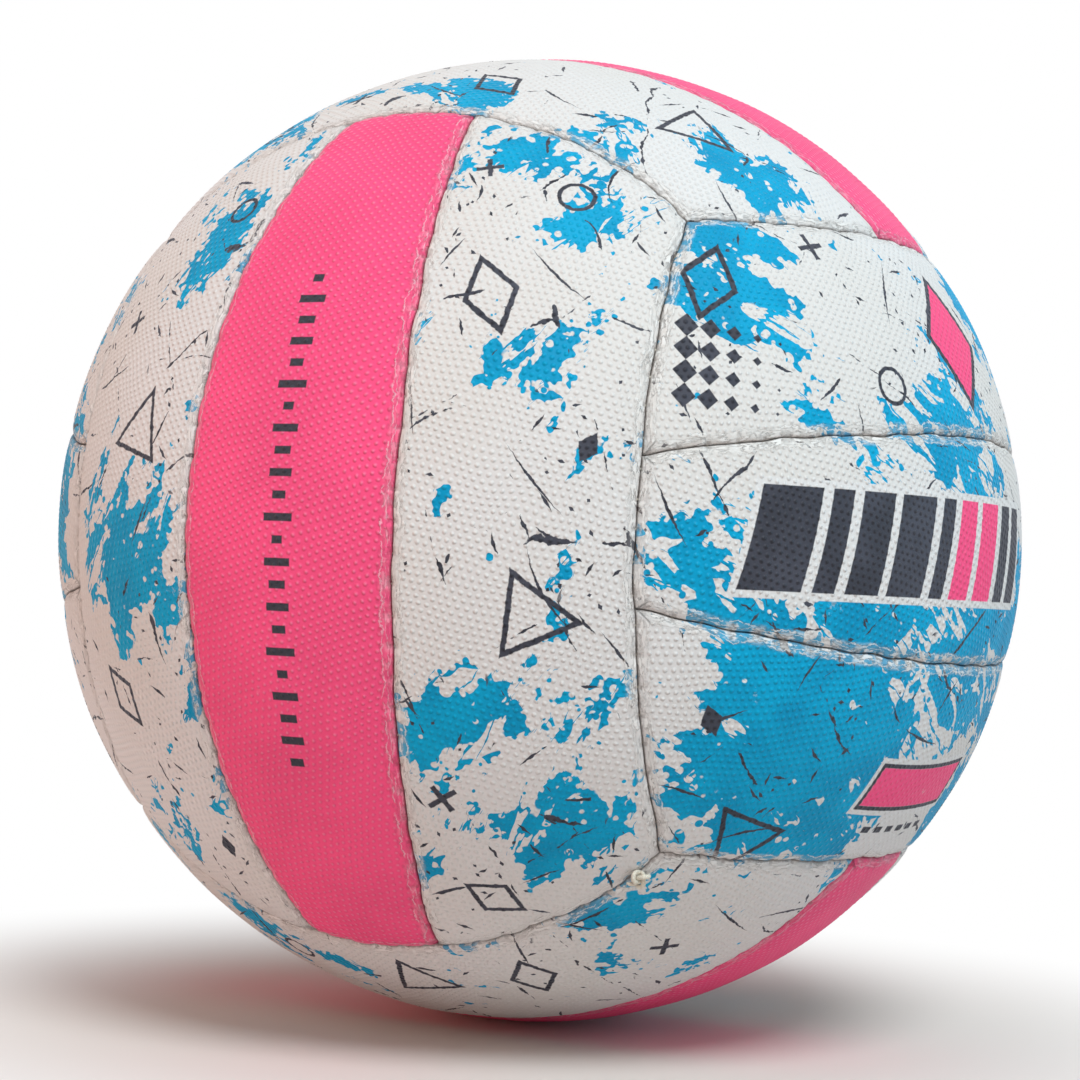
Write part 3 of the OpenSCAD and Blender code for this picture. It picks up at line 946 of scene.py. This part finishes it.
def block_row(finish, place):
    """Slanted blocks of several widths across the right face's middle strip, and their rim."""
    x, y = local_axes(finish, place, 76, 0)
    x = x - y * 0.22
    dark, bright, rim = None, None, None
    for middle, half_w, is_pink in BLOCKS:
        distance = box_shape(x - middle, y, half_w, BLOCK_HALF_H)
        around = inside(distance - 1.5)
        rim = around if rim is None else rim.at_least(around)
        mask = inside(distance)
        if is_pink:
            bright = mask if bright is None else bright.at_least(mask)
        else:
            dark = mask if dark is None else dark.at_least(mask)
    return dark, bright, rim


def fading_grid(finish, place, azimuth, elevation, turn, pitch, reach):
    """Rows of small diamonds that get smaller to one side."""
    x, y = local_axes(finish, place, azimuth, elevation, turn)
    cell_x, cell_y = x % pitch - pitch / 2, y % pitch - pitch / 2
    size = (x.rises(reach, -reach)) * pitch * 0.52
    window = inside(box_shape(x, y, reach, pitch * 2.0), 0.05)
    return inside(abs(cell_x) + abs(cell_y) - size, 0.15) * window


# Height of the finest relief, and the distances from a seam between which the printed pimples set in
FINE_RELIEF, FINE_PIMPLES = 0.25 * MM, (1.1, 2.6)


def grip_bump(finish, place, edge, run):
    """Normal of the skin, with the pimples' and folds' masks: pimples, grain, and creases by the seams."""
    grip = finish.node("ShaderNodeUVMap", {"uv_map": "Grip"})
    rows = math.sqrt(3)

    def off_centre(x, y):
        cell = grip.moved(x, y, 0.0).vector("WRAP", (0.5, rows / 2, 1.0), (-0.5, -rows / 2, -1.0))
        return cell.vector("LENGTH", out=1)

    away = off_centre(0.0, 0.0).at_most(off_centre(0.5, rows / 2))
    pimples = away.rises(0.38, 0.03) * edge.rises(*FINE_PIMPLES)
    grain = finish.noise(place, 2.4, 3.0, 0.6)
    folds = finish.noise(finish.joined(edge * 1.15, run * 0.30), 1.0, 4.0, 0.62)
    puckers = finish.noise(finish.joined(edge * 0.35, run * 1.05, 3.0), 1.0, 2.0, 0.6)
    close = edge.rises(3.4, 0.8)
    cracks = abs(folds - 0.5).rises(0.034, 0.014) * close
    height = pimples + grain * 0.09 + (folds * 0.63 + puckers * 0.54 - cracks * 0.5) * close
    return finish.bump(height, FINE_RELIEF), pimples, folds, cracks


def wear_and_painted_light(finish, colour, place, edge, run, folds, cracks, pale, amount):
    """Lets a colour go pale in streaks, torn lines and stitches by the seams, partly as a painted highlight
    on the rounded edges; darkens its cracks, and paints shade in the seam crease, at the stitch dents and
    beside the film lines.
    """
    pitch = bpy.context.scene.netball_sizes.stitch_pitch / MM
    rub = finish.noise(place, 0.30, 4.0, 0.65)
    streaks = (folds * 0.6 + rub * 0.6).rises(0.61, 0.68)
    off = abs((run + pitch / 2) % pitch - pitch / 2)
    pulled = off.rises(1.9, 0.5) * edge.rises(2.4, 0.8) * rub.rises(0.40, 0.56)
    # Paler within 2.5 mm of the seam: rubbed streaks, and a painted highlight on the rounded edges
    rubbed_and_lit_edge = edge.rises(2.5, 1.0) * (0.12 + 0.88 * streaks)
    drift = finish.noise(finish.joined(run * 0.26, edge * 0.18, 5.0), 1.0, 4.0, 0.7)
    torn = finish.noise(finish.joined(run * 0.21, 9.0), 1.0, 3.0, 0.6)
    film = edge + (drift - 0.5) * 3.6
    near_film = edge + (drift.also(1).dot((0.0, 1.0, 0.0)) - 0.5) * 2.6
    film_line = abs(film - 1.75).rises(0.20, 0.08) * torn.rises(0.44, 0.51)
    film_line = film_line.at_least(abs(near_film - 0.9).rises(0.12, 0.04) * torn.rises(0.53, 0.47))
    # Painted shadow beside the film's edge
    film_shade = abs(film - 1.95).rises(0.13, 0.05) * torn.rises(0.46, 0.53)
    scuffs = finish.noise(place, 0.11, 7.0, 0.72).rises(0.67, 0.71) * 0.35
    colour = finish.mix(edge.rises(2.8, 0.5) * rub.rises(0.34, 0.58) * 0.13, colour, (0.58, 0.44, 0.35))
    colour = finish.mix(rubbed_and_lit_edge.at_least(scuffs).at_least(pulled * 0.8) * amount, colour, pale)
    colour = finish.mix(cracks * rub.rises(0.46, 0.60) * 0.56 * amount, colour, (0.12, 0.095, 0.085))
    colour = finish.mix(film_line * 0.68, colour, pale)
    colour = finish.mix(film_shade * 0.28, colour, (0.22, 0.17, 0.15))
    # Painted shade in the seam crease and at the stitch dents beside it
    pricks = off.rises(0.62, 0.25) * edge.rises(0.95, 0.45)
    ragged = edge + (finish.noise(finish.joined(run * 1.2, 7.0), 1.0, 3.0, 0.65) - 0.5) * 0.7
    crease = ragged.rises(0.30, 0.04) * 0.36
    return finish.mix(crease.at_least(pricks * 0.30), colour, (0.110, 0.062, 0.046))


SKIN_REFLECTION = 0.14
# Marks down the front's pink strip: the distance between them in millimetres and how many there are
MARK_PITCH, MARK_ROWS = 4.4, 23


def skin_surface(finish, place, colour, pimples, normal):
    """Ends a skin's finish: satin, with smoother tops of the pimples."""
    roughness = bpy.context.scene.netball_finish.skin_roughness
    rough = roughness + finish.noise(place, 0.4, 3.0) * 0.10 - pimples * 0.16
    return finish.surface(Base_Color=colour, Roughness=rough, Normal=normal,
                          Specular_IOR_Level=SKIN_REFLECTION)


@functools.lru_cache
def pink_skin():
    """Plain pink grip skin with a row of small dark marks down the front strip."""
    look = bpy.context.scene.netball_finish
    finish = Finish("Pink grip skin")
    place, edge, run = finish.place(), finish.value_of("edge_mm"), finish.value_of("run_mm")
    normal, pimples, folds, cracks = grip_bump(finish, place, edge, run)
    pink = Vector(look.pink)
    mottled = finish.noise(place, 0.05, 3.0).rises(0.3, 0.7)
    colour = finish.mix(mottled, tuple(pink * 0.94), tuple(pink * 1.05))
    # Painted highlight: the tops of the pimples are lighter
    colour = finish.mix(pimples * pimples * 0.40, colour, (1.0, 0.38, 0.53))
    needle = abs((run + 1.55) % 3.1 - 1.55)
    pricks = inside((needle * needle * 0.35 + (edge - 2.35) * (edge - 2.35)).math("SQRT") - 0.33, 0.14)
    colour = finish.mix(pricks * 0.25, colour, tuple(pink * 0.45))
    x, y = local_axes(finish, place, 0, 0)
    cell = (y + MARK_PITCH / 2) % MARK_PITCH - MARK_PITCH / 2
    count = ((y + MARK_PITCH / 2) / MARK_PITCH).math("FLOOR")
    mark = box_shape(x, cell, 3.3 - (count % 2.0) * 1.4 - (count % 3.0) * 0.35, 0.8)
    front = inside(place.dot((0.0, 1.0, 0.0)) + 40.0) * inside(abs(y) - MARK_PITCH * MARK_ROWS / 2)
    colour = finish.mix(inside(mark) * front, colour, tuple(look.charcoal))
    # The pale colour serves for wear and for the painted highlight on the rounded edges
    colour = wear_and_painted_light(finish, colour, place, edge, run, folds, cracks, (0.92, 0.52, 0.62), 0.34)
    return skin_surface(finish, place, colour, pimples, normal)


@functools.lru_cache
def printed_skin(face):
    """White grip skin with a print of cyan splashes, charcoal strokes and plain shapes."""
    look = bpy.context.scene.netball_finish
    finish = Finish(f"Printed grip skin {face}")
    place, edge, run = finish.place(), finish.value_of("edge_mm"), finish.value_of("run_mm")
    normal, pimples, folds, cracks = grip_bump(finish, place, edge, run)
    white = Vector(look.white)
    warmth = finish.noise(place, 0.018, 2.0).rises(0.35, 0.65)
    colour = finish.mix(warmth, tuple(white), (white[0] * 0.97, white[1] * 0.955, white[2] * 0.93))
    # Painted highlight: the tops of the pimples are lighter
    colour = finish.mix(pimples * 0.45, colour, tuple(white * 1.10))

    ink = finish.noise(place, 0.09, 2.0).rises(0.3, 0.7)
    cyan = Vector(look.cyan)
    cyan_ink = finish.mix(ink, tuple(cyan * 0.88), (cyan[0], cyan[1] * 1.14, cyan[2] * 1.08))
    # Painted highlight: the tops of the pimples are lighter in the cyan
    cyan_ink = finish.mix(pimples * 0.18, cyan_ink, (0.0, 0.52, 0.80))
    colour = finish.mix(splashes(finish, place, face), colour, cyan_ink)

    dark_ink = finish.mix(ink, tuple(look.charcoal), tuple(Vector(look.charcoal) * 1.5))
    # Painted shade: the pimples are darker in the charcoal ink
    dark_ink = finish.mix(pimples * 0.6, dark_ink, tuple(Vector(look.charcoal) * 0.3))
    wobble = finish.noise(place, 0.6, 3.0, 0.6).also(1).moved(-0.5, -0.5, -0.5)
    shaken = place.vector("ADD", wobble.scaled((0.8, 0.8, 0.8)))
    dark = scratches(finish, shaken)
    for shape in PRINTED[face]:
        dark = dark.at_least(drawn(finish, shaken, *shape))
    if face == "right":
        dark = dark.at_least(fading_grid(finish, place, 49, 17, -8, 5.0, 15.0))
        blocks, bright, rim = block_row(finish, place)
        disc = local_axes(finish, place, 86, 24)
        lozenge = diamond_shape(*disc, 11.0, 14.0)
        bar_x, bar_y = local_axes(finish, place, 84, -27)
        bar = box_shape(bar_x - bar_y * 0.25, bar_y, 19.0, 4.6)
        rims = rim.at_least(inside(bar - 2.2))
        colour = finish.mix(dark, colour, dark_ink)
        colour = finish.mix(rims, colour, tuple(white))
        dark = blocks.at_least(inside(abs(lozenge - 0.6) - 0.75)).at_least(inside(abs(bar - 0.5) - 0.5))
        dashes = box_shape(bar_x % 5.0 - 2.5, bar_y + 10.5, 1.5, 0.8).at_least(abs(bar_x) - 14.5)
        dark = dark.at_least(inside(dashes))
        pinks = bright.at_least(inside(lozenge + 0.1)).at_least(inside(bar))
        colour = finish.mix(pinks, colour, tuple(look.pink))
    colour = finish.mix(dark, colour, dark_ink)
    # The pale colour serves for wear and for the painted highlight on the rounded edges
    colour = wear_and_painted_light(finish, colour, place, edge, run, folds, cracks, (0.85, 0.83, 0.81), 0.85)
    return skin_surface(finish, place, colour, pimples, normal)


@functools.lru_cache
def waxed_thread():
    """Cream thread with its twist and a little wax sheen."""
    look = bpy.context.scene.netball_finish
    finish = Finish("Waxed thread")
    place = finish.place()
    fibre = finish.noise(place, 3.2, 3.0, 0.6)
    tone = Vector(look.thread)
    colour = finish.mix(fibre.rises(0.35, 0.7), tuple(tone * 0.78), tuple(tone * 1.06))
    colour = finish.mix(finish.noise(place, 0.5, 2.0).rises(0.55, 0.75) * 0.35, colour, (0.30, 0.25, 0.18))
    rough = 0.5 + fibre * 0.2
    return finish.surface(Base_Color=colour, Roughness=rough, Normal=finish.bump(fibre, 0.12 * MM))


@functools.lru_cache
def lining_cloth():
    """Woven cotton lining."""
    look = bpy.context.scene.netball_finish
    finish = Finish("Lining cloth")
    place = finish.place()
    tone = Vector(look.lining)
    across, _, rise = finish.parts(place)
    over = (across * 5.2).math("SINE") * (rise * 5.2).math("SINE")
    slub = finish.noise(place, 0.8, 3.0, 0.6)
    colour = finish.mix((over * 0.5 + slub * 0.6).rises(0.1, 0.8), tuple(tone * 0.72), tuple(tone * 1.08))
    return finish.surface(Base_Color=colour, Roughness=0.82 + slub * 0.1,
                          Normal=finish.bump(over + slub * 0.5, 0.1 * MM))


@functools.lru_cache
def valve_rubber():
    """Matte black rubber with mould grain."""
    look = bpy.context.scene.netball_finish
    finish = Finish("Valve rubber")
    place = finish.place()
    grain = finish.noise(place, 1.4, 4.0, 0.6)
    tone = Vector(look.rubber)
    bloom = finish.noise(place, 0.25, 3.0).rises(0.4, 0.7)
    colour = finish.mix(bloom, tuple(tone * 0.9), tuple(tone * 1.7))
    return finish.surface(Base_Color=colour, Roughness=look.rubber_roughness + grain * 0.15,
                          Normal=finish.bump(grain, 0.05 * MM))


@functools.lru_cache
def bladder_rubber():
    """Butyl rubber with talc dust."""
    look = bpy.context.scene.netball_finish
    finish = Finish("Bladder rubber")
    place = finish.place()
    dust = finish.noise(place, 0.12, 6.0, 0.7).rises(0.5, 0.72)
    tone = Vector(look.rubber)
    colour = finish.mix(dust * 0.35, tuple(tone * 1.4), (0.30, 0.29, 0.28))
    return finish.surface(Base_Color=colour, Roughness=look.rubber_roughness - 0.1 + dust * 0.3,
                          Normal=finish.bump(finish.noise(place, 0.6, 3.0), 0.1 * MM))


# Operators


class NETBALL_OT_skins(bpy.types.Operator):
    """Build the eighteen grip skins over their packed panels"""

    bl_idname = "netball.skins"
    bl_label = "Grip skins"

    def execute(self, context):
        shapes = {}
        for i, face in enumerate(FACES):
            for strip in (-1, 0, 1):
                make_skin(context.scene.netball_sizes, face, strip, shapes, 3 * i + strip + 11)
        return {"FINISHED"}


class NETBALL_OT_stitching(bpy.types.Operator):
    """Lay the thread and its stitches into every seam"""

    bl_idname = "netball.stitching"
    bl_label = "Stitching"

    def execute(self, context):
        for face in FACES:
            make_thread(context.scene.netball_sizes, face)
        return {"FINISHED"}


class NETBALL_OT_knot(bpy.types.Operator):
    """Tie the closing knot beside its corner"""

    bl_idname = "netball.knot"
    bl_label = "Closing knot"

    def execute(self, context):
        make_knot(context.scene.netball_sizes)
        return {"FINISHED"}


class NETBALL_OT_core(bpy.types.Operator):
    """Give the linings, bladder and valve their finishes"""

    bl_idname = "netball.core"
    bl_label = "Linings, bladder and valve"

    def execute(self, context):
        finishes = {"lining": lining_cloth, "bladder": bladder_rubber, "patch": valve_rubber,
                    "seat": valve_rubber, "plug": valve_rubber}
        for name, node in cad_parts.items():
            finish = finishes.get(name.split("_")[-1])
            if finish:
                node.data.materials.clear()
                node.data.materials.append(finish())
        return {"FINISHED"}


class NETBALL_OT_stage(bpy.types.Operator):
    """Set the floor, the lamps and the camera"""

    bl_idname = "netball.stage"
    bl_label = "Studio"

    def execute(self, context):
        make_floor()
        make_lamps(context)
        make_camera(context)
        context.scene.view_settings.view_transform = "Standard"
        return {"FINISHED"}


FLOOR_SIDES, FLOOR_RADII, FLOOR_TONE = 96, (0.02, 0.3, 1.2, 6.0), (0.72, 0.65, 0.61)
# The floor turns white between these distances from the ball's middle, in millimetres
FLOOR_FADE = (70.0, 210.0)


def make_floor():
    """A pale floor that keeps the shadow near the ball and fades to white for the camera."""
    turn = np.linspace(0, 2 * math.pi, FLOOR_SIDES, endpoint=False)
    rings = [np.stack([r * np.cos(turn), r * np.sin(turn), np.full(FLOOR_SIDES, -BALL_R)], 1)
             for r in FLOOR_RADII]
    index = np.arange(len(FLOOR_RADII) * FLOOR_SIDES).reshape(len(FLOOR_RADII), FLOOR_SIDES)
    faces = [closed_quads(b, a) for a, b in zip(index, index[1:])] + [index[:1]]
    floor = mesh_object("studio_floor", np.concatenate(rings), faces)
    finish = Finish("Studio floor")
    place = finish.place()
    away = place.scaled((1.0, 1.0, 0.0)).vector("LENGTH", out=1)
    plain = finish.node("ShaderNodeBsdfPrincipled", {}, {
        "Base Color": FLOOR_TONE, "Roughness": 0.9})
    white = finish.node("ShaderNodeEmission", {}, {"Color": (1.0, 1.0, 1.0), "Strength": 1.0})
    path = finish.node("ShaderNodeLightPath")
    seen = path.at_least(path.also("Is Glossy Ray")).at_least(path.also("Is Transmission Ray"))
    fade = away.rises(*FLOOR_FADE) * seen
    mixed = finish.node("ShaderNodeMixShader", {}, {0: fade, 1: plain, 2: white})
    finish.node("ShaderNodeOutputMaterial", {}, {"Surface": mixed})
    floor.data.materials.append(finish.material)


# Each lamp: name, place, width in metres, power in watts and colour
LAMPS = [
    ("key_lamp", (0.8, -0.75, 1.35), 0.75, 24.0, (0.86, 0.97, 1.0)),
    ("fill_lamp", (-1.2, -0.9, 0.1), 1.0, 7.6, (1.0, 0.48, 0.33)),
    ("side_lamp", (1.3, 0.6, 0.35), 0.8, 2.9, (0.10, 0.66, 1.0)),
]
SURROUND, SURROUND_STRENGTH, WHITE = (1.0, 0.91, 0.88, 1.0), 0.36, (1.0, 1.0, 1.0, 1.0)


def make_lamps(context):
    """Soft daylight, a warm fill, a weak cool side lamp and a surround that the camera sees as white."""
    for name, place, width, power, tint in LAMPS:
        lamp = bpy.data.lights.new(name, "AREA")
        lamp.shape, lamp.size, lamp.energy, lamp.color = "DISK", width, power, tint
        holder = bpy.data.objects.new(name, lamp)
        holder.location = place
        holder.rotation_euler = (-Vector(place)).to_track_quat("-Z", "Y").to_euler()
        context.scene.collection.objects.link(holder)
    world = bpy.data.worlds.new("Studio surround")
    world.use_nodes = True
    nodes, links = world.node_tree.nodes, world.node_tree.links
    nodes.clear()
    soft, clear = nodes.new("ShaderNodeBackground"), nodes.new("ShaderNodeBackground")
    for shade, colour, strength in ((soft, SURROUND, SURROUND_STRENGTH), (clear, WHITE, 1.0)):
        shade.inputs["Color"].default_value = colour
        shade.inputs["Strength"].default_value = strength
    path, mixed, out = (nodes.new(kind) for kind in (
        "ShaderNodeLightPath", "ShaderNodeMixShader", "ShaderNodeOutputWorld"))
    seen = path.outputs["Is Camera Ray"]
    for ray in ("Is Glossy Ray", "Is Transmission Ray"):
        either = nodes.new("ShaderNodeMath")
        either.operation = "MAXIMUM"
        links.new(seen, either.inputs[0])
        links.new(path.outputs[ray], either.inputs[1])
        seen = either.outputs[0]
    links.new(seen, mixed.inputs[0])
    links.new(soft.outputs[0], mixed.inputs[1])
    links.new(clear.outputs[0], mixed.inputs[2])
    links.new(mixed.outputs[0], out.inputs[0])
    context.scene.world = world


# The camera's right and back, its distance in ball radii, and its focal length in photograph widths
CAMERA_RIGHT, CAMERA_BACK = (0.886, 0.4617, 0.0425), (0.4629, -0.8861, -0.0237)
CAMERA_REACH, CAMERA_FOCUS = 5.25, 2488 / 1080
SENSOR_MM = 36.0


def make_camera(context):
    """The photograph's viewpoint, a little below the ball's middle and right of its front."""
    right, back = Vector(CAMERA_RIGHT), Vector(CAMERA_BACK)
    back.normalize()
    right = (right - back * right.dot(back)).normalized()
    up = back.cross(right)
    camera = bpy.data.cameras.new("view_camera")
    camera.sensor_width, camera.lens = SENSOR_MM, SENSOR_MM * CAMERA_FOCUS
    camera.clip_start, camera.clip_end = 0.01, 50.0
    holder = bpy.data.objects.new("view_camera", camera)
    turn = Matrix((right, up, back)).transposed().to_4x4()
    holder.matrix_world = Matrix.Translation(back * BALL_R * CAMERA_REACH) @ turn
    context.scene.collection.objects.link(holder)
    context.scene.camera = holder


class NETBALL_PT_sidebar(bpy.types.Panel):
    """Sizes, finishes and steps of the netball"""

    bl_idname = "NETBALL_PT_sidebar"
    bl_label = "Stitched Netball"
    bl_space_type = "VIEW_3D"
    bl_region_type = "UI"
    bl_category = "Netball"

    def draw(self, context):
        column = self.layout.column()
        for step in STEPS:
            column.operator(step.bl_idname)
        for group in (context.scene.netball_sizes, context.scene.netball_finish):
            box = self.layout.box()
            for name in group.__annotations__:
                box.prop(group, name)


STEPS = (NETBALL_OT_skins, NETBALL_OT_stitching, NETBALL_OT_knot, NETBALL_OT_core, NETBALL_OT_stage)
CLASSES = (NetballSizes, NetballFinish, *STEPS, NETBALL_PT_sidebar)


def register():
    for cls in CLASSES:
        bpy.utils.register_class(cls)
    bpy.types.Scene.netball_sizes = bpy.props.PointerProperty(type=NetballSizes)
    bpy.types.Scene.netball_finish = bpy.props.PointerProperty(type=NetballFinish)


def unregister():
    del bpy.types.Scene.netball_sizes, bpy.types.Scene.netball_finish
    for cls in reversed(CLASSES):
        bpy.utils.unregister_class(cls)


def main():
    register()
    bpy.ops.netball.skins()
    bpy.ops.netball.stitching()
    bpy.ops.netball.knot()
    bpy.ops.netball.core()
    bpy.ops.netball.stage()


if __name__ == "__main__":
    main()
